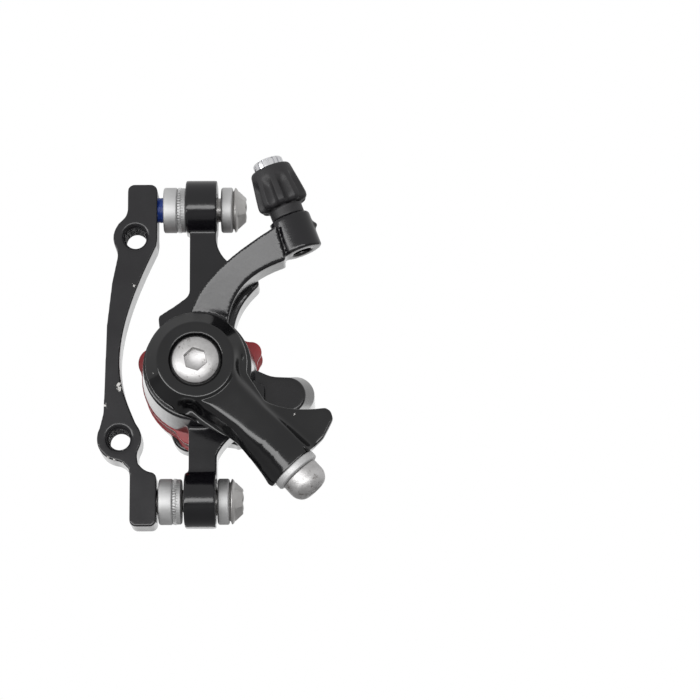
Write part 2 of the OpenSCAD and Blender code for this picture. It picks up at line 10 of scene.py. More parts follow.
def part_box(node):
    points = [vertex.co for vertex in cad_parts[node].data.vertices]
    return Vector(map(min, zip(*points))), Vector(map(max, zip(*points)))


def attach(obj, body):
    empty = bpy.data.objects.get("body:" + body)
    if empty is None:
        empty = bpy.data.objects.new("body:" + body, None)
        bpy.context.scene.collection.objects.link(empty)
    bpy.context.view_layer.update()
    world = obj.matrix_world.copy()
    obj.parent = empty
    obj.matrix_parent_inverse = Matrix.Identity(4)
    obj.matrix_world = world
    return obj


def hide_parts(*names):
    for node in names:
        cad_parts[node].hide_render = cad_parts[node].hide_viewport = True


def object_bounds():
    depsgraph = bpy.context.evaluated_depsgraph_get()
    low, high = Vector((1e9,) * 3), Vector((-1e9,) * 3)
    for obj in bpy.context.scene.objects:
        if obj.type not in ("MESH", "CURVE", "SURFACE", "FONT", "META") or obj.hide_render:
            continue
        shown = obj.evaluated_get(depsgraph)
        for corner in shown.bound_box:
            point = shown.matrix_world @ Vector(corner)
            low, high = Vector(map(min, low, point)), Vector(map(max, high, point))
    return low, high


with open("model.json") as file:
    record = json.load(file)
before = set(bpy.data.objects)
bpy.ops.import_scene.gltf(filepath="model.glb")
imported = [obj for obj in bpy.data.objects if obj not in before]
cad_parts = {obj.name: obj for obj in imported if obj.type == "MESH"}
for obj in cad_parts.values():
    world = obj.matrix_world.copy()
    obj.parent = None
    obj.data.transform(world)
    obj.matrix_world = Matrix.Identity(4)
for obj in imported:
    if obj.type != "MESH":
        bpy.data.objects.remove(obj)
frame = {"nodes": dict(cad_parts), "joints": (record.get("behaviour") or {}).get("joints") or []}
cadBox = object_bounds()
nodes = frame["nodes"]
mm = 0.001
print("frame loaded", len(nodes), "nodes")


# Places taken from the frame

def jointNamed(name):
    return next(j for j in frame["joints"] if j["name"] == name)


def boxOf(node):
    low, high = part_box(node)
    return low / mm, high / mm


def axisFrame(origin, direction, across=(0, 1, 0)):
    # a frame in millimetres whose Z runs along direction
    z = Vector(direction).normalized()
    x = Vector(across).cross(z).normalized()
    y = z.cross(x)
    turn = Matrix((x, y, z)).transposed().to_4x4()
    return Matrix.Translation(Vector(origin)) @ turn


leverTurn = jointNamed("lever_swing")
hubX, hubZ = leverTurn["pos_m"][0] / mm, leverTurn["pos_m"][2] / mm
barrelAxis = Vector(jointNamed("barrel_turn")["axis"])
barrelPoint = Vector(jointNamed("barrel_turn")["pos_m"]) / mm


# Mesh tools

def ease(x):
    x = np.clip(x, 0.0, 1.0)
    return x * x * (3 - 2 * x)


def newPiece(name, verts, faces, smooth=True, sharpAngle=35):
    mesh = bpy.data.meshes.new(name)
    mesh.from_pydata([tuple(v) for v in verts], [], faces)
    mesh.validate()
    piece = bpy.data.objects.new(name, mesh)
    bpy.context.scene.collection.objects.link(piece)
    tidyMesh(piece, smooth, sharpAngle)
    return piece


def tidyMesh(piece, smooth=True, sharpAngle=35):
    bm = bmesh.new()
    bm.from_mesh(piece.data)
    bmesh.ops.remove_doubles(bm, verts=bm.verts, dist=1e-7)
    bmesh.ops.recalc_face_normals(bm, faces=bm.faces)
    bm.to_mesh(piece.data)
    bm.free()
    if smooth:
        piece.data.shade_smooth()
        if sharpAngle < 180:
            piece.data.set_sharp_from_angle(angle=math.radians(sharpAngle))


def bakeModifiers(piece):
    bpy.context.view_layer.update()
    evaluated = piece.evaluated_get(bpy.context.evaluated_depsgraph_get())
    mesh = bpy.data.meshes.new_from_object(evaluated)
    piece.modifiers.clear()
    piece.data = mesh


def standsFor(piece, body, node, material):
    piece.data.materials.clear()
    piece.data.materials.append(material)
    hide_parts(node)
    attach(piece, body)
    return piece


def copyOf(node, name):
    piece = bpy.data.objects.new(name, nodes[node].data.copy())
    bpy.context.scene.collection.objects.link(piece)
    tidyMesh(piece, smooth=False)
    return piece


def cutWith(piece, cutter):
    cut = piece.modifiers.new("cut", "BOOLEAN")
    cut.operation = "DIFFERENCE"
    cut.solver = "EXACT"
    cut.object = cutter
    bakeModifiers(piece)
    bpy.data.objects.remove(cutter)


def castSkin(piece, skin):
    # one closed skin with soft corners, as a casting has under its paint
    remesh = piece.modifiers.new("skin", "REMESH")
    remesh.mode = "VOXEL"
    remesh.voxel_size = skin["voxel"] * mm
    remesh.use_smooth_shade = True
    soft = piece.modifiers.new("soft", "SMOOTH")
    soft.factor = 0.5
    soft.iterations = skin["rounds"]
    bakeModifiers(piece)
    triangles = 2 * len(piece.data.polygons)
    if triangles > skin["limit"]:
        thin = piece.modifiers.new("thin", "DECIMATE")
        thin.ratio = skin["limit"] / triangles
        bakeModifiers(piece)
    piece.data.shade_smooth()
    return piece


def rounded(profile, radius, steps=4):
    # a profile with its corners rounded, apart from its two ends
    made = [profile[0]]
    for before, here, after in zip(profile, profile[1:], profile[2:]):
        a, b, c = Vector(before), Vector(here), Vector(after)
        reach = min(radius, (a - b).length * 0.45, (c - b).length * 0.45)
        start, end = b + (a - b).normalized() * reach, b + (c - b).normalized() * reach
        for k in range(steps + 1):
            t = k / steps
            made.append(tuple(start * (1 - t) ** 2 + b * 2 * t * (1 - t) + end * t * t))
    made.append(profile[-1])
    return made


def turned(name, profile, place, steps=96, shift=None, closed=False, sharpAngle=40):
    # revolves (radius, height) points about the Z of place; shift moves a point by its index and angle
    rows = []
    verts = []
    for i, (r, h) in enumerate(profile):
        row = []
        count = 1 if r < 1e-6 else steps
        for k in range(count):
            a = 2 * math.pi * k / steps
            dr, dh = shift(i, a) if shift and r > 1e-6 else (0, 0)
            row.append(len(verts))
            verts.append(place @ Vector(((r + dr) * math.cos(a), (r + dr) * math.sin(a), h + dh)) * mm)
        rows.append(row)
    if closed:
        rows.append(rows[0])
    faces = []
    for low, high in zip(rows, rows[1:]):
        for k in range(steps):
            n = (k + 1) % steps
            if len(low) == 1 and len(high) == 1:
                continue
            if len(low) == 1:
                faces.append((low[0], high[k], high[n]))
            elif len(high) == 1:
                faces.append((low[k], low[n], high[0]))
            else:
                faces.append((low[k], low[n], high[n], high[k]))
    return newPiece(name, verts, faces, True, sharpAngle)


keySocket = {"drillTip": 0.9, "drillShare": 0.9, "step": 0.15, "above": 1.5}


def hexPrism(place, acrossFlats, bottom, top, chamfer, turn=0.0):
    # a hexagonal cutter with a drilled cone below it and a lead-in at its mouth
    r, above = acrossFlats / math.sqrt(3), keySocket["above"]
    corners = [math.radians(60 * k + turn) for k in range(6)]
    ring = [(math.cos(a), math.sin(a)) for a in corners]
    levels = [(0.0, bottom - keySocket["drillTip"]), (r * keySocket["drillShare"], bottom),
              (r, bottom + keySocket["step"]), (r, top - chamfer), (r + chamfer, top),
              (r + chamfer + above, top + above)]
    verts = [place @ Vector((0, 0, levels[0][1])) * mm]
    for radius, h in levels[1:]:
        verts += [place @ Vector((x * radius, y * radius, h)) * mm for x, y in ring]
    faces = [(0, 1 + k, 1 + (k + 1) % 6) for k in range(6)]
    for level in range(len(levels) - 2):
        a, b = 1 + 6 * level, 7 + 6 * level
        faces += [(a + k, a + (k + 1) % 6, b + (k + 1) % 6, b + k) for k in range(6)]
    lid = 1 + 6 * (len(levels) - 2)
    faces.append(tuple(lid + k for k in range(6)))
    return newPiece("key", verts, faces, False)


threadForm = {"rowsPerTurn": 12, "crestWidth": 1.35, "flank": 3.4}


def threadSkin(name, place, crest, root, pitch, z0, z1, backRadius, steps=72):
    # a helical thread: backRadius 0 closes it to a rod, a larger one makes a sleeve with the thread inside
    rows = int((z1 - z0) / pitch * threadForm["rowsPerTurn"])
    verts, faces = [], []
    for i in range(rows + 1):
        z = z0 + (z1 - z0) * i / rows
        fade = min(1.0, (z - z0) / pitch, (z1 - z) / pitch)
        for k in range(steps):
            phase = (z / pitch - k / steps) % 1.0
            ridge = threadForm["crestWidth"] - abs(phase - 0.5) * threadForm["flank"]
            ridge = min(1.0, max(0.0, ridge)) * fade
            r = root + (crest - root) * ridge
            a = 2 * math.pi * k / steps
            verts.append(place @ Vector((r * math.cos(a), r * math.sin(a), z)) * mm)
    for i in range(rows):
        for k in range(steps):
            n = (k + 1) % steps
            faces.append((i * steps + k, i * steps + n, (i + 1) * steps + n, (i + 1) * steps + k))
    first, last = 0, rows * steps
    if backRadius:
        base = len(verts)
        for z in (z0, z1):
            for k in range(steps):
                a = 2 * math.pi * k / steps
                verts.append(place @ Vector((backRadius * math.cos(a), backRadius * math.sin(a), z)) * mm)
        for k in range(steps):
            n = (k + 1) % steps
            faces.append((first + k, base + k, base + n, first + n))
            faces.append((last + k, last + n, base + steps + n, base + steps + k))
            faces.append((base + k, base + steps + k, base + steps + n, base + n))
    else:
        faces.append(tuple(range(first, first + steps)))
        faces.append(tuple(range(last, last + steps)))
    return newPiece(name, verts, faces, True, 60)


# Finishes

def shaderOf(name):
    material = bpy.data.materials.new(name)
    material.use_nodes = True
    tree = material.node_tree
    shader = tree.nodes["Principled BSDF"]
    return material, tree, shader


def noiseOf(tree, scale, detail=4.0, roughness=0.6, stretch=None):
    place = tree.nodes.new("ShaderNodeTexCoord")
    noise = tree.nodes.new("ShaderNodeTexNoise")
    noise.inputs["Scale"].default_value = scale
    noise.inputs["Detail"].default_value = detail
    noise.inputs["Roughness"].default_value = roughness
    if stretch:
        mapping = tree.nodes.new("ShaderNodeMapping")
        mapping.inputs["Scale"].default_value = stretch
        tree.links.new(place.outputs["Object"], mapping.inputs["Vector"])
        tree.links.new(mapping.outputs["Vector"], noise.inputs["Vector"])
    else:
        tree.links.new(place.outputs["Object"], noise.inputs["Vector"])
    return noise.outputs["Fac"]


def rampOf(tree, source, stops):
    ramp = tree.nodes.new("ShaderNodeValToRGB")
    for k, (place, value) in enumerate(stops):
        colour = value if isinstance(value, tuple) else (value, value, value)
        if k > 1:
            ramp.color_ramp.elements.new(place)
        ramp.color_ramp.elements[k].position = place
        ramp.color_ramp.elements[k].color = (*colour, 1)
    tree.links.new(source, ramp.inputs["Fac"])
    return ramp.outputs["Color"]


def mathOf(tree, operation, a, b):
    node = tree.nodes.new("ShaderNodeMath")
    node.operation = operation
    for k, value in enumerate((a, b)):
        if isinstance(value, (int, float)):
            node.inputs[k].default_value = value
        else:
            tree.links.new(value, node.inputs[k])
    return node.outputs[0]


def mixColour(tree, factor, a, b):
    mix = tree.nodes.new("ShaderNodeMix")
    mix.data_type = "RGBA"
    tree.links.new(factor, mix.inputs["Factor"])
    for socket, value in ((mix.inputs["A"], a), (mix.inputs["B"], b)):
        if isinstance(value, tuple):
            socket.default_value = (*value, 1)
        else:
            tree.links.new(value, socket)
    return mix.outputs["Result"]


def bumpFrom(tree, shader, heights, distance):
    # heights is a list of (source, strength); the bumps add up
    normal = None
    for source, strength in heights:
        bump = tree.nodes.new("ShaderNodeBump")
        bump.inputs["Strength"].default_value = strength
        bump.inputs["Distance"].default_value = distance
        tree.links.new(source, bump.inputs["Height"])
        if normal:
            tree.links.new(normal, bump.inputs["Normal"])
        normal = bump.outputs["Normal"]
    tree.links.new(normal, shader.inputs["Normal"])


wear = {"bareMetal": (0.62, 0.61, 0.59), "edges": (0.56, 0.60), "edgeScale": 420, "nickScale": 1800,
        "outlineScale": 1500, "outline": 2.6}


def nickMask(tree, nicks):
    # 1 inside small worn spots at fixed places in the part's frame, in millimetres
    place = tree.nodes.new("ShaderNodeTexCoord").outputs["Object"]
    ragged = mathOf(tree, "SUBTRACT", noiseOf(tree, wear["outlineScale"], 3, 0.8), 0.5)
    ragged = mathOf(tree, "MULTIPLY", ragged, wear["outline"] * mm)
    total = None
    for x, y, z, radius in nicks:
        away = tree.nodes.new("ShaderNodeVectorMath")
        away.operation = "DISTANCE"
        away.inputs[1].default_value = (x * mm, y * mm, z * mm)
        tree.links.new(place, away.inputs[0])
        spot = mathOf(tree, "LESS_THAN", mathOf(tree, "ADD", away.outputs["Value"], ragged), radius * mm)
        total = spot if total is None else mathOf(tree, "MAXIMUM", total, spot)
    return total


def blackPaint(name, look, nicks=()):
    material, tree, shader = shaderOf(name)
    cloud = noiseOf(tree, 90, 3)
    peel = noiseOf(tree, look["peelScale"], 2, 0.5)
    dust = noiseOf(tree, 2600, 2, 0.7)
    colour = rampOf(tree, cloud, [(0.3, look["dark"]), (0.7, look["light"])])
    edge = tree.nodes.new("ShaderNodeNewGeometry").outputs["Pointiness"]
    edges = rampOf(tree, edge, [(wear["edges"][0], 0.0), (wear["edges"][1], 1.0)])
    patches = noiseOf(tree, wear["edgeScale"], 5, 0.7)
    patches = rampOf(tree, patches, [(look["wearFrom"], 0.0), (look["wearFrom"] + 0.03, 1.0)])
    worn = mathOf(tree, "MULTIPLY", edges, patches)
    if nicks:
        crumbs = rampOf(tree, noiseOf(tree, wear["nickScale"], 3), [(0.38, 0.0), (0.44, 1.0)])
        spots = mathOf(tree, "MULTIPLY", nickMask(tree, nicks), crumbs)
        worn = mathOf(tree, "MAXIMUM", worn, spots)
    tree.links.new(mixColour(tree, worn, colour, wear["bareMetal"]), shader.inputs["Base Color"])
    tree.links.new(rampOf(tree, cloud, [(0.2, look["shine"]), (0.8, look["shine"] + 0.09)]),
                   shader.inputs["Roughness"])
    bumpFrom(tree, shader, [(peel, look["peel"]), (dust, look["peel"] * 0.35)], 0.00004)
    return material


def metalFinish(name, look):
    material, tree, shader = shaderOf(name)
    shader.inputs["Metallic"].default_value = 1.0
    cloud = noiseOf(tree, look["cloudScale"], 5, 0.65)
    fine = noiseOf(tree, 3200, 3, 0.6, look.get("brush"))
    stainFrom = look.get("stains", 0.64)
    stain = rampOf(tree, noiseOf(tree, 430, 6, 0.8), [(stainFrom, 0.0), (stainFrom + 0.08, 1.0)])
    colour = rampOf(tree, cloud, [(0.3, look["dark"]), (0.72, look["light"])])
    tree.links.new(mixColour(tree, stain, colour, look["stain"]), shader.inputs["Base Color"])
    tree.links.new(rampOf(tree, cloud, [(0.25, look["shine"]), (0.8, look["shine"] + 0.14)]),
                   shader.inputs["Roughness"])
    bumpFrom(tree, shader, [(fine, look["grain"]), (cloud, look["grain"] * 0.6)], 0.00006)
    return material


def plainFinish(name, look):
    material, tree, shader = shaderOf(name)
    cloud = noiseOf(tree, look["cloudScale"], 4)
    fine = noiseOf(tree, look["grainScale"], 3, 0.65)
    speck = rampOf(tree, noiseOf(tree, look["grainScale"] * 0.7, 4, 0.75), [(0.62, 0.0), (0.7, 1.0)])
    colour = rampOf(tree, cloud, [(0.3, look["dark"]), (0.7, look["light"])])
    tree.links.new(mixColour(tree, speck, colour, look["speck"]), shader.inputs["Base Color"])
    tree.links.new(rampOf(tree, cloud, [(0.2, look["shine"]), (0.8, look["shine"] + 0.12)]),
                   shader.inputs["Roughness"])
    bumpFrom(tree, shader, [(fine, look["grain"])], 0.0001)
    return material


# bare spots in the paint: x, y, z and radius
leverNicks = [(12.2, -14.9, 0.9, 0.35), (11.9, -14.9, 0.6, 0.3), (34.6, -12.3, -17.2, 0.3),
              (41.8, -12.2, -21.5, 0.3)]
adapterNicks = [(-1.95, 0.2, -12.0, 0.5), (-1.85, 0.2, -12.9, 0.5), (-1.7, 0.3, -13.6, 0.35),
                (1.6, 0.0, 13.1, 0.2), (-5.4, 0.2, -17.2, 0.4), (-4.6, 0.2, -30.4, 0.45),
                (-3.0, 0.2, -31.0, 0.4), (-1.0, 0.2, -31.8, 0.3)]
bodyPaint = {"dark": (0.0025, 0.0025, 0.0035), "light": (0.005, 0.0045, 0.006), "shine": 0.13,
             "peelScale": 900, "peel": 0.35, "wearFrom": 0.66}
adapterPaint = {"dark": (0.006, 0.0055, 0.007), "light": (0.010, 0.0095, 0.011), "shine": 0.17,
                "peelScale": 1100, "peel": 0.16, "wearFrom": 0.62}
leverPaint = {"dark": (0.002, 0.002, 0.0025), "light": (0.004, 0.004, 0.0045), "shine": 0.1,
              "peelScale": 600, "peel": 0.2, "wearFrom": 0.68}
zincLook = {"dark": (0.55, 0.55, 0.55), "light": (0.66, 0.66, 0.66), "stain": (0.38, 0.37, 0.36),
            "shine": 0.55, "grain": 0.5, "cloudScale": 160}
boltLook = {"dark": (0.44, 0.43, 0.42), "light": (0.62, 0.61, 0.6), "stain": (0.15, 0.14, 0.135),
            "shine": 0.38, "grain": 0.5, "cloudScale": 200}
nickelLook = {"dark": (0.46, 0.455, 0.45), "light": (0.66, 0.65, 0.65), "stain": (0.2, 0.18, 0.17),
              "stains": 0.575, "shine": 0.42, "grain": 0.6, "cloudScale": 260}
chromeLook = {"dark": (0.72, 0.72, 0.74), "light": (0.86, 0.86, 0.87), "stain": (0.5, 0.49, 0.48),
              "shine": 0.12, "grain": 0.2, "cloudScale": 300}
driveLook = {"dark": (0.34, 0.35, 0.36), "light": (0.5, 0.51, 0.52), "stain": (0.2, 0.19, 0.18),
             "shine": 0.3, "grain": 0.35, "cloudScale": 200, "brush": (1, 12, 1)}
bronzeLook = {"dark": (0.5, 0.33, 0.13), "light": (0.66, 0.47, 0.2), "stain": (0.3, 0.19, 0.08),
              "shine": 0.35, "grain": 0.3, "cloudScale": 220}
knobLook = {"dark": (0.009, 0.0085, 0.0095), "light": (0.015, 0.014, 0.016), "speck": (0.022, 0.021, 0.023),
            "shine": 0.42, "grain": 0.35, "cloudScale": 140, "grainScale": 2200}
rubberLook = {"dark": (0.015, 0.015, 0.016), "light": (0.024, 0.024, 0.025), "speck": (0.045, 0.044, 0.043),
              "shine": 0.6, "grain": 0.5, "cloudScale": 200, "grainScale": 2000}
padPaint = {"dark": (0.32, 0.018, 0.024), "light": (0.42, 0.028, 0.034), "speck": (0.24, 0.015, 0.02),
            "shine": 0.3, "grain": 0.25, "cloudScale": 200, "grainScale": 1400}
liningLook = {"dark": (0.12, 0.1, 0.09), "light": (0.24, 0.2, 0.18), "speck": (0.5, 0.4, 0.28),
              "shine": 0.7, "grain": 1.0, "cloudScale": 900, "grainScale": 2400}
nylonLook = {"dark": (0.05, 0.05, 0.055), "light": (0.08, 0.08, 0.085), "speck": (0.1, 0.1, 0.1),
             "shine": 0.45, "grain": 0.3, "cloudScale": 200, "grainScale": 1800}
threadlockLook = {"dark": (0.01, 0.03, 0.2), "light": (0.02, 0.07, 0.36), "speck": (0.1, 0.15, 0.4),
                  "shine": 0.35, "grain": 0.8, "cloudScale": 700, "grainScale": 1500}

finish = {
    "body": blackPaint("blackBodyPaint", bodyPaint),
    "adapter": blackPaint("blackAdapterPaint", adapterPaint, adapterNicks),
    "lever": blackPaint("blackLeverPaint", leverPaint, leverNicks),
    "zinc": metalFinish("dullZinc", zincLook),
    "bolt": metalFinish("dullBoltSteel", boltLook),
    "nickel": metalFinish("wornNickel", nickelLook),
    "chrome": metalFinish("brightTip", chromeLook),
    "drive": metalFinish("groundDriveSteel", driveLook),
    "bronze": metalFinish("cageBronze", bronzeLook),
    "knob": plainFinish("mouldedKnob", knobLook),
    "rubber": plainFinish("sealRubber", rubberLook),
    "padRed": plainFinish("redPadPaint", padPaint),
    "lining": plainFinish("pressedLining", liningLook),
    "nylon": plainFinish("bushNylon", nylonLook),
    "threadlock": plainFinish("blueThreadlock", threadlockLook),
}
print("finishes made", len(finish))


# Bracket with its two threaded holes

bracketSkin = {"voxel": 0.28, "rounds": 7, "limit": 150000}
forkHoles = {"lean": 4, "spacing": 51, "bore": 3.02, "boreFrom": 0.3, "boreTo": 12}
forkThread = {"crest": 2.62, "root": 3.0, "back": 3.15, "pitch": 1.0, "from": 0.45, "to": 9.9}

adapter = copyOf("adapter", "adapterBracket")
boreLoop = [(0, forkHoles["boreFrom"]), (forkHoles["bore"], forkHoles["boreFrom"]),
            (forkHoles["bore"], forkHoles["boreTo"]), (0, forkHoles["boreTo"])]
forkAxes = {}
for which, side in (("upper", 1), ("lower", -1)):
    lean, reach = math.radians(forkHoles["lean"]), side * forkHoles["spacing"] / 2
    at = Vector((reach * math.sin(lean), 0, reach * math.cos(lean)))
    forkAxes[which] = axisFrame(at, (0, 1, 0), (0, 0, 1))
    cutWith(adapter, turned("forkBore", boreLoop, forkAxes[which], 96))
castSkin(adapter, bracketSkin)
standsFor(adapter, "caliper", "adapter", finish["adapter"])
for which, place in forkAxes.items():
    thread = threadSkin(which + "ForkThread", place, forkThread["crest"], forkThread["root"],
                        forkThread["pitch"], forkThread["from"], forkThread["to"], forkThread["back"])
    thread.data.materials.append(finish["adapter"])
    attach(thread, "caliper")
print("bracket")


# Caliper casting

castingSkin = {"voxel": 0.33, "rounds": 8, "limit": 190000}
nub = {"at": (46.5, -10.3, 25.9), "radius": 0.85}  # small nub on the boss of the cable stop

body = copyOf("caliper_body", "caliperCasting")
withNub = bmesh.new()
withNub.from_mesh(body.data)
nubPlace = Matrix.Translation(Vector(nub["at"]) * mm)
bmesh.ops.create_icosphere(withNub, subdivisions=3, radius=nub["radius"] * mm, matrix=nubPlace)
withNub.to_mesh(body.data)
withNub.free()
castSkin(body, castingSkin)
standsFor(body, "caliper", "caliper_body", finish["body"])
print("casting", len(body.data.polygons))


# Lever

leverSkin = {"voxel": 0.24, "rounds": 8, "limit": 190000}
lever = copyOf("lever_arm", "leverArm")
castSkin(lever, leverSkin)
# the arm's front: each list gives a distance from the hub and a value there
arm = {"angle": -47.4,
       "low": [(5.5, -5.6), (11, -4.6), (18.4, -2.6), (24, -1.2), (30, 0.3), (36, 0.3)],
       "up": [(5.8, 6.0), (10.5, 4.5), (18.9, 4.5), (23.3, 4.9), (27.5, 5.3), (36, 5.8)],
       "top": [(6, -15.15), (12, -14.95), (20, -14.6), (27, -14.6), (36, -14.9)],
       "round": [(6, 1.2), (11, 1.7), (18.4, 2.4), (24, 4.8), (30, 7.0), (36, 7.0)],
       "plate": -11.8, "least": -9.2, "rise": 0.3, "steep": 0.95, "wall": 3}
# where the front is reshaped, away from the hub's axis and along the arm; pairs are a start and a width
reshape = {"along": 3, "away": 8.8, "ahead": -8.9, "facing": -0.12, "carveAlong": 10, "carveAway": 10.5,
           "blendAway": (9.0, 2.2), "blendAlong": (3.5, 4.0)}
# where the skin is smoothed once more
smooth = {"away": (9.6, 2.5), "along": (2.0, 3.0), "tip": (35.6, -1.2), "end": (26, 34.6), "endAcross": 3,
          "factor": 0.8, "rounds": {"armFlow": 40, "endFlow": 30}}


def lineAt(key, s):
    return np.interp(s, *zip(*arm[key]))


def fadeIn(x, pair):
    start, width = pair
    return ease((x - start) / width)


def armFront(s, u):
    # depth of the arm's rounded front, s along the arm and u across it
    low, up, reach = lineAt("low", s), lineAt("up", s), lineAt("round", s)
    depth = lineAt("top", s) + arm["rise"] * ease((u - up + 3) / 3)
    past = np.maximum(low - u, 0)
    inside = np.minimum(past, arm["steep"] * reach)
    depth += reach - np.sqrt(reach * reach - inside * inside)
    depth += arm["wall"] * np.maximum(past - arm["steep"] * reach, 0)
    share = ease((u - up + 0.9) / 2.4)
    depth = depth * (1 - share) + arm["plate"] * share
    return np.minimum(depth, arm["least"])


def pointsOf(piece):
    flat = np.empty(3 * len(piece.data.vertices))
    piece.data.vertices.foreach_get("co", flat)
    return flat.reshape(-1, 3) / mm


points = pointsOf(lever)
facing = np.empty(points.size)
lever.data.vertices.foreach_get("normal", facing)
facing = facing.reshape(-1, 3)[:, 1]
armX, armZ = math.cos(math.radians(arm["angle"])), math.sin(math.radians(arm["angle"]))
dx, dz = points[:, 0] - hubX, points[:, 2] - hubZ
along, across, away = dx * armX + dz * armZ, dz * armX - dx * armZ, np.hypot(dx, dz)
front = (along > reshape["along"]) & (away > reshape["away"])
front &= (points[:, 1] < reshape["ahead"]) & (facing < reshape["facing"])
share = front * fadeIn(away, reshape["blendAway"]) * fadeIn(along, reshape["blendAlong"])
depths = armFront(along, across)
points[:, 1] += (depths - points[:, 1]) * share
proud = (along > reshape["carveAlong"]) & (away > reshape["carveAway"]) & (points[:, 1] < depths)
points[proud, 1] = depths[proud]
lever.data.vertices.foreach_set("co", (points * mm).ravel())
armFlow = lever.vertex_groups.new(name="armFlow")
weights = fadeIn(away, smooth["away"]) * fadeIn(along, smooth["along"]) * fadeIn(along, smooth["tip"])
weights = np.round(weights, 1)
for weight in np.unique(weights[weights > 0]):
    armFlow.add(np.flatnonzero(weights == weight).tolist(), float(weight), "REPLACE")
endFlow = lever.vertex_groups.new(name="endFlow")
endFrom, endTo = smooth["end"]
ends = np.flatnonzero((along > endFrom) & (along < endTo) & (across < smooth["endAcross"])).tolist()
endFlow.add(ends, 1.0, "REPLACE")
for group, rounds in smooth["rounds"].items():
    soft = lever.modifiers.new(group, "SMOOTH")
    soft.factor = smooth["factor"]
    soft.iterations = rounds
    soft.vertex_group = group
bakeModifiers(lever)
lever.data.shade_smooth()
standsFor(lever, "lever", "lever_arm", finish["lever"])
print("lever", len(lever.data.polygons))


# Caliper bolts and their washers

boltHead = {"height": 2.5, "flange": 0.9, "topRadius": 2.95, "flats": 0.9, "blend": 0.75, "socket": 5.0,
            "socketDepth": 2.2}
boltShank = {"crest": 3.0, "root": 2.55, "pitch": 1.0, "threadEnd": 14, "overlap": 0.1}


def mountBolt(which):
    node = which + "_mount_bolt"
    low, high = boxOf(node)
    y, z = (low.y + high.y) / 2, (low.z + high.z) / 2
    place = axisFrame((0, y, z), (1, 0, 0), (0, 0, 1))
    rim = (high.y - low.y) / 2
    seat = high.x - boltHead["height"] - boltHead["flange"]
    coneFrom = seat + 1.2
    flange = [(0, seat), (rim - 0.9, seat), (rim - 0.75, seat + 0.3), (rim, seat + 0.55),
              (rim, seat + 0.85)]
    cone = [(rim - 0.5, coneFrom), (rim - 0.75, coneFrom + 0.1), (rim - 0.9, coneFrom + 0.35),
            (boltHead["topRadius"] + 0.1, high.x - 0.12), (boltHead["topRadius"] - 0.2, high.x),
            (0, high.x)]
    profile = rounded(flange + cone, 0.14, 3)

    def facets(i, a):
        # six flats that fade into the flange
        r, h = profile[i]
        if h <= coneFrom or r <= 1:
            return 0, 0
        wave = (a + math.pi / 6) % (math.pi / 3) - math.pi / 6
        share = ease((h - coneFrom) / 0.7) * boltHead["blend"]
        return r * (boltHead["flats"] / math.cos(wave) - 1) * share, 0
    head = turned(which + "BoltHead", profile, place, 144, facets)
    cutWith(head, hexPrism(place, boltHead["socket"], high.x - boltHead["socketDepth"], high.x, 0.25))
    tidyMesh(head, True, 30)
    crest, threadEnd, overlap = boltShank["crest"], high.x - boltShank["threadEnd"], boltShank["overlap"]
    shank = threadSkin(which + "BoltThread", place, crest, boltShank["root"], boltShank["pitch"], low.x,
                       threadEnd, 0)
    neckLoop = [(0, threadEnd - overlap), (crest, threadEnd - overlap), (crest, seat + overlap),
                (0, seat + overlap)]
    neck = turned(which + "BoltNeck", neckLoop, place, 64)
    for piece in (shank, neck):
        piece.data.materials.append(finish["bolt"])
        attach(piece, "caliper")
    standsFor(head, "caliper", node, finish["bolt"])


washerShape = {"bore": 3.25, "dish": 0.5, "teeth": 48, "toothDepth": 0.55, "gap": (0.3, 0.75)}


def flatWasher(node, name, dish=0.0):
    low, high = boxOf(node)
    y, z, rim = (low.y + high.y) / 2, (low.z + high.z) / 2, (high.y - low.y) / 2
    place = axisFrame((0, y, z), (1, 0, 0), (0, 0, 1))
    bore = washerShape["bore"]
    loop = [(bore, low.x + dish), (rim - 0.9, low.x + dish * 0.2), (rim - 0.35, low.x), (rim, low.x + 0.35),
            (rim, high.x - 0.3), (rim - 0.3, high.x), (bore, high.x)]
    piece = turned(name, rounded(loop, 0.35, 3), place, 96, None, True, 40)
    standsFor(piece, "caliper", node, finish["zinc"])


def toothedWasher(node, name):
    low, high = boxOf(node)
    y, z, rim = (low.y + high.y) / 2, (low.z + high.z) / 2, (high.y - low.y) / 2
    place = axisFrame((0, y, z), (1, 0, 0), (0, 0, 1))
    bore, band = washerShape["bore"], (2, 3, 4)  # band holds the points of loop that the teeth cut into
    loop = [(bore, low.x), (rim - 0.75, low.x), (rim - 0.05, low.x + 0.12), (rim, low.x + 0.3),
            (rim, low.x + 0.85), (rim - 0.12, low.x + 1.0), (rim - 0.12, high.x - 0.3), (rim - 0.4, high.x),
            (bore, high.x)]

    def teeth(i, a):
        wave = (a * washerShape["teeth"] / (2 * math.pi)) % 1.0
        inGap = washerShape["gap"][0] < wave < washerShape["gap"][1]
        return (-washerShape["toothDepth"] if i in band and inGap else 0.0), 0
    piece = turned(name, loop, place, 8 * washerShape["teeth"], teeth, True, 40)
    standsFor(piece, "caliper", node, finish["zinc"])


for which in ("upper", "lower"):
    mountBolt(which)
    flatWasher(which + "_cup_washer", which + "CupWasher", washerShape["dish"])
    toothedWasher(which + "_serrated_washer", which + "SerratedWasher")
    flatWasher(which + "_head_washer", which + "HeadWasher")

# dried threadlocker on the part of the upper shank that shows
low, high = boxOf("upper_cup_washer")
shankAxis = axisFrame((0, (low.y + high.y) / 2, (low.z + high.z) / 2), (1, 0, 0), (0, 0, 1))
lockLoop = [(2.6, low.x - 1.6), (3.06, low.x - 1.5), (3.12, low.x - 0.8), (3.08, low.x + 0.3),
            (2.6, low.x + 0.4)]


def lockRipple(i, a):
    return 0.05 * math.sin(5 * a + i) + 0.03 * math.sin(11 * a), 0.12 * math.sin(3 * a + i)


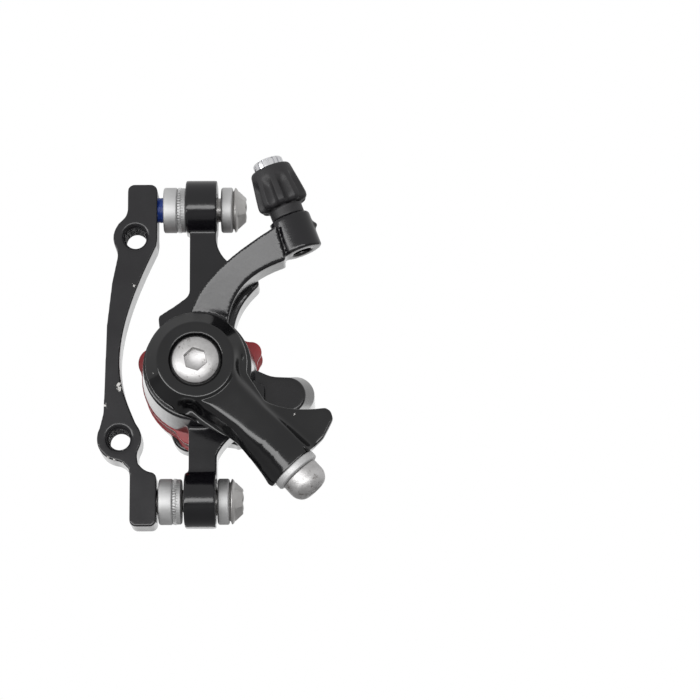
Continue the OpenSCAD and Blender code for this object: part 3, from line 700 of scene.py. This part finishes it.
lock = turned("threadlockPatch", rounded(lockLoop, 0.2), shankAxis, 72, lockRipple, True)
lock.data.materials.append(finish["threadlock"])
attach(lock, "caliper")
print("bolts and washers")


# Lever screw and cable clamp

leverScrew = {"head": 3.1, "shank": 2.95, "edge": 1.0, "socket": 5.0, "socketDepth": 2.3, "lead": 0.3,
              "turn": 12}
low, high = boxOf("lever_screw")
screwAxis = axisFrame((hubX, 0, hubZ), (0, -1, 0), (1, 0, 0))
top, tail, rim = -low.y, -high.y, (high.x - low.x) / 2
seat = top - leverScrew["head"]
domeFrom = seat + leverScrew["edge"]
profile = [(0, tail), (leverScrew["shank"], tail), (leverScrew["shank"], seat), (rim - 0.25, seat),
           (rim, seat + 0.3), (rim, domeFrom)]
for degrees in (20, 35, 50, 65, 78):
    t = math.radians(degrees)
    profile.append((rim * math.cos(t) ** 0.75, domeFrom + (top - domeFrom) * math.sin(t) ** 0.9))
profile.append((0, top))
screw = turned("leverScrewHead", profile, screwAxis, 128)
cutWith(screw, hexPrism(screwAxis, leverScrew["socket"], top - leverScrew["socketDepth"], top,
                        leverScrew["lead"], leverScrew["turn"]))
tidyMesh(screw, True, 30)
standsFor(screw, "lever", "lever_screw", finish["nickel"])

clamp = {"radius": 34.9, "depth": -10.3, "top": 8.0, "socket": 4.0, "socketFrom": 5.4, "lead": 0.25,
         "turn": 20, "pitch": 0.8}
clampPoint = (hubX + clamp["radius"] * armX, clamp["depth"], hubZ + clamp["radius"] * armZ)
clampAxis = axisFrame(clampPoint, (armX, 0, armZ))
clampHead = [(0, 1.0), (2.5, 1.0), (2.5, 2.0), (4.7, 2.0), (4.95, 2.25), (4.95, 5.3), (4.6, 6.3),
             (3.9, 7.25), (3.0, 7.8), (1.6, clamp["top"]), (0, clamp["top"])]
clampBolt = turned("clampBoltHead", rounded(clampHead, 0.5), clampAxis, 128)
cutWith(clampBolt, hexPrism(clampAxis, clamp["socket"], clamp["socketFrom"], clamp["top"], clamp["lead"],
                            clamp["turn"]))
tidyMesh(clampBolt, True, 30)
standsFor(clampBolt, "lever", "cable_clamp_bolt", finish["nickel"])
clampThread = threadSkin("clampBoltThread", clampAxis, 2.5, 2.12, clamp["pitch"], -8.0, 1.2, 0, 64)
clampThread.data.materials.append(finish["nickel"])
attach(clampThread, "lever")
washerLoop = [(2.65, 0.0), (5.6, 0.0), (5.9, 0.3), (5.9, 1.7), (5.6, 2.0), (2.65, 2.0)]
clampWasher = turned("clampWasher", rounded(washerLoop, 0.3, 3), clampAxis, 96, None, True)
standsFor(clampWasher, "lever", "cable_clamp_washer", finish["zinc"])
print("screw and clamp")


# Barrel adjuster

barrelAxisFrame = axisFrame(barrelPoint, barrelAxis)
# heights of the knob are above the underside of the boss, and the joint's point is jointRise above it
knobShape = {"jointRise": 12.0, "flutes": 9, "deep": 1.0, "from": 11.9, "to": 20.6, "turn": 0.35,
             "neck": 4.3, "fade": 3.5, "width": 0.66, "step": 0.3}
knobSkirt = [(3.06, 9.3), (4.15, 9.3), (4.15, 11.6), (4.5, 12.1), (5.6, 12.35), (6.2, 13.0), (6.28, 14.0)]
knobTop = [(5.95, 16.5), (5.35, 20.5), (5.12, 22.0), (4.85, 22.45), (3.95, 22.5), (3.06, 22.3)]
knobProfile = [(r, h - knobShape["jointRise"]) for r, h in rounded(knobSkirt + knobTop, 0.45, 5)]
dense = []
for (r0, h0), (r1, h1) in zip(knobProfile, knobProfile[1:]):
    parts = max(1, int(math.hypot(r1 - r0, h1 - h0) / knobShape["step"]))
    dense += [(r0 + (r1 - r0) * k / parts, h0 + (h1 - h0) * k / parts) for k in range(parts)]
dense.append(knobProfile[-1])


def flute(i, a):
    r, h = dense[i][0], dense[i][1] + knobShape["jointRise"]
    if r < knobShape["neck"] or h < knobShape["from"] or h > knobShape["to"]:
        return 0, 0
    rise = ease((knobShape["to"] - h) / knobShape["fade"])
    across = ((a * knobShape["flutes"] / (2 * math.pi) + knobShape["turn"]) % 1.0) - 0.5
    valley = max(0.0, math.cos(math.pi * across / knobShape["width"])) ** 0.75
    return -knobShape["deep"] * rise * valley, 0


knob = turned("barrelKnob", dense, barrelAxisFrame, 360, flute, True, 60)
standsFor(knob, "barrel", "barrel_knob", finish["knob"])

# End cup that holds the cable housing

seatTip = {"socket": 2.6, "rim": 3.8, "shank": 3.0, "hole": 1.4, "from": 9.5, "top": 12.7, "floor": 4.3,
           "bottom": 3.5, "notches": 18, "notchDepth": 0.34, "notch": (0.36, 0.64)}
socket, rim, shank, hole = (seatTip[key] for key in ("socket", "rim", "shank", "hole"))
top, lower, floor, bottom = (seatTip[key] for key in ("top", "from", "floor", "bottom"))
tipLoop = [(socket, floor), (socket, top - 0.4), (2.9, top - 0.05), (3.4, top), (rim, top - 0.45),
           (rim, lower), (shank, lower - 0.2), (shank, bottom), (hole, bottom), (hole, floor)]
tipLoop = rounded(tipLoop, 0.15, 3)


def knurl(i, a):
    r, h = tipLoop[i]
    wave = (a * seatTip["notches"] / (2 * math.pi)) % 1.0
    inNotch = seatTip["notch"][0] < wave < seatTip["notch"][1]
    return (-seatTip["notchDepth"] if inNotch and r > 3.3 and h > lower + 0.1 else 0.0), 0


tip = turned("housingSeatTip", tipLoop, barrelAxisFrame, 288, knurl, True, 40)
standsFor(tip, "housing_seat", "housing_seat", finish["chrome"])
stemThread = {"crest": 3.0, "root": 2.6, "pitch": 1.0, "from": -9.6, "to": 3.0}
stem = threadSkin("barrelStem", barrelAxisFrame, stemThread["crest"], stemThread["root"],
                  stemThread["pitch"], stemThread["from"], stemThread["to"], 0, 64)
cutWith(stem, turned("cableHole", [(0, -12), (hole, -12), (hole, 5), (0, 5)], barrelAxisFrame, 48))
tidyMesh(stem, True, 60)
standsFor(stem, "barrel", "barrel_stem", finish["bolt"])
print("barrel adjuster")


# Pads

def bevelled(node, name, width, body, material, segments=3):
    piece = copyOf(node, name)
    merge = piece.modifiers.new("merge", "DECIMATE")
    merge.decimate_type = "DISSOLVE"
    merge.angle_limit = math.radians(1)
    bevel = piece.modifiers.new("edge", "BEVEL")
    bevel.width = width * mm
    bevel.segments = segments
    bevel.limit_method = "ANGLE"
    bevel.angle_limit = math.radians(50)
    bevel.harden_normals = False
    bakeModifiers(piece)
    tidyMesh(piece, True, 40)
    return standsFor(piece, body, node, material)


for side, bodyName in (("outer", "piston"), ("inner", "inner_pad")):
    bevelled(side + "_pad_plate", side + "PadPlate", 0.25, bodyName, finish["padRed"])
    bevelled(side + "_pad_lining", side + "PadLining", 0.12, bodyName, finish["lining"], 2)
bevelled("pad_adjuster", "padAdjuster", 0.2, "pad_adjuster", finish["zinc"])
bevelled("dust_seal", "dustSeal", 0.25, "caliper", finish["rubber"])
print("pads and seal")


# Pieces inside, shown as they come from the frame

inside = {"drive": ("drive_spindle", "return_spring", "thrust_washer", "piston", "pad_adjuster_clip"),
          "chrome": ("drive_balls", "piston_magnet", "pad_adjuster_magnet"),
          "bronze": ("ball_cage",), "nylon": ("spindle_bushing",)}
for kind, names in inside.items():
    for node in names:
        nodes[node].data.materials.clear()
        nodes[node].data.materials.append(finish[kind])
print("inner pieces")


# Studio

studio = {"floorZ": -0.7, "half": 4, "paper": (0.34, 0.34, 0.34), "paperLight": (0.38, 0.38, 0.38),
          "fill": 0.72}
frontLamp = {"from": (-0.48, -1.19, -0.23), "size": (2.8, 0.36), "power": 18.5}
rearLamp = {"from": (-0.06, 1.25, -0.04), "size": (1.1, 0.62), "power": 1.35}


def paper(name, corners):
    sheet = newPiece(name, [Vector(c) for c in corners], [(0, 1, 2, 3)], False)
    material, tree, shader = shaderOf(name)
    shader.inputs["Roughness"].default_value = 0.9
    out = tree.nodes["Material Output"]
    path = tree.nodes.new("ShaderNodeLightPath")
    glow = tree.nodes.new("ShaderNodeEmission")
    glow.inputs["Color"].default_value = (1, 1, 1, 1)
    mix = tree.nodes.new("ShaderNodeMixShader")
    grain = noiseOf(tree, 60, 3)
    colour = rampOf(tree, grain, [(0.3, studio["paper"]), (0.7, studio["paperLight"])])
    tree.links.new(colour, shader.inputs["Base Color"])
    tree.links.new(path.outputs["Is Camera Ray"], mix.inputs["Fac"])
    tree.links.new(shader.outputs["BSDF"], mix.inputs[1])
    tree.links.new(glow.outputs["Emission"], mix.inputs[2])
    tree.links.new(mix.outputs["Shader"], out.inputs["Surface"])
    sheet.data.materials.append(material)


half, floorZ = studio["half"], studio["floorZ"]
paper("floorPaper", [(x * half, y * half, floorZ) for x, y in ((-1, -1), (1, -1), (1, 1), (-1, 1))])
centre = (cadBox[0] + cadBox[1]) / 2


def softLamp(name, look):
    lamp = bpy.data.lights.new(name, "AREA")
    lamp.shape = "RECTANGLE"
    lamp.size, lamp.size_y = look["size"]
    lamp.energy = look["power"]
    lampObject = bpy.data.objects.new(name, lamp)
    bpy.context.scene.collection.objects.link(lampObject)
    lampObject.location = centre + Vector(look["from"])
    lampObject.rotation_euler = (-Vector(look["from"])).to_track_quat("-Z", "Y").to_euler()


softLamp("frontStrip", frontLamp)
softLamp("rearStrip", rearLamp)

world = bpy.data.worlds.new("studioWorld")
bpy.context.scene.world = world
world.use_nodes = True
worldTree = world.node_tree
background = worldTree.nodes["Background"]
lightPath = worldTree.nodes.new("ShaderNodeLightPath")
level = worldTree.nodes.new("ShaderNodeMapRange")
level.inputs["To Min"].default_value = studio["fill"]
level.inputs["To Max"].default_value = 1.0
worldTree.links.new(lightPath.outputs["Is Camera Ray"], level.inputs["Value"])
worldTree.links.new(level.outputs["Result"], background.inputs["Strength"])
background.inputs["Color"].default_value = (1, 1, 1, 1)


# Camera, below the part and looking slightly up

# a millimetre at the target is pixelsPerMm wide in a picture of pixels by pixels
view = {"target": (55.2, 0.0, -3.46), "rise": 11.3, "roll": 0.25, "distance": 770.0, "pixelsPerMm": 4.04,
        "pixels": 700, "sensor": 36}
rise, roll = math.radians(view["rise"]), math.radians(view["roll"])
ahead = Vector((0, math.cos(rise), math.sin(rise)))
upward = Vector((0, -math.sin(rise), math.cos(rise)))
sideways = Vector((1, 0, 0))
cameraData = bpy.data.cameras.new("photoCamera")
cameraData.sensor_width = view["sensor"]
cameraData.lens = view["pixelsPerMm"] * view["distance"] * view["sensor"] / view["pixels"]
cameraData.clip_start, cameraData.clip_end = 0.05, 20
camera = bpy.data.objects.new("photoCamera", cameraData)
bpy.context.scene.collection.objects.link(camera)
bpy.context.scene.camera = camera
cameraRight = sideways * math.cos(roll) - upward * math.sin(roll)
cameraUp = sideways * math.sin(roll) + upward * math.cos(roll)
turnMatrix = Matrix((cameraRight, cameraUp, -ahead)).transposed().to_4x4()
cameraPlace = (Vector(view["target"]) - ahead * view["distance"]) * mm
camera.matrix_world = Matrix.Translation(cameraPlace) @ turnMatrix
bpy.context.scene.view_settings.view_transform = "Standard"
print("studio and camera")
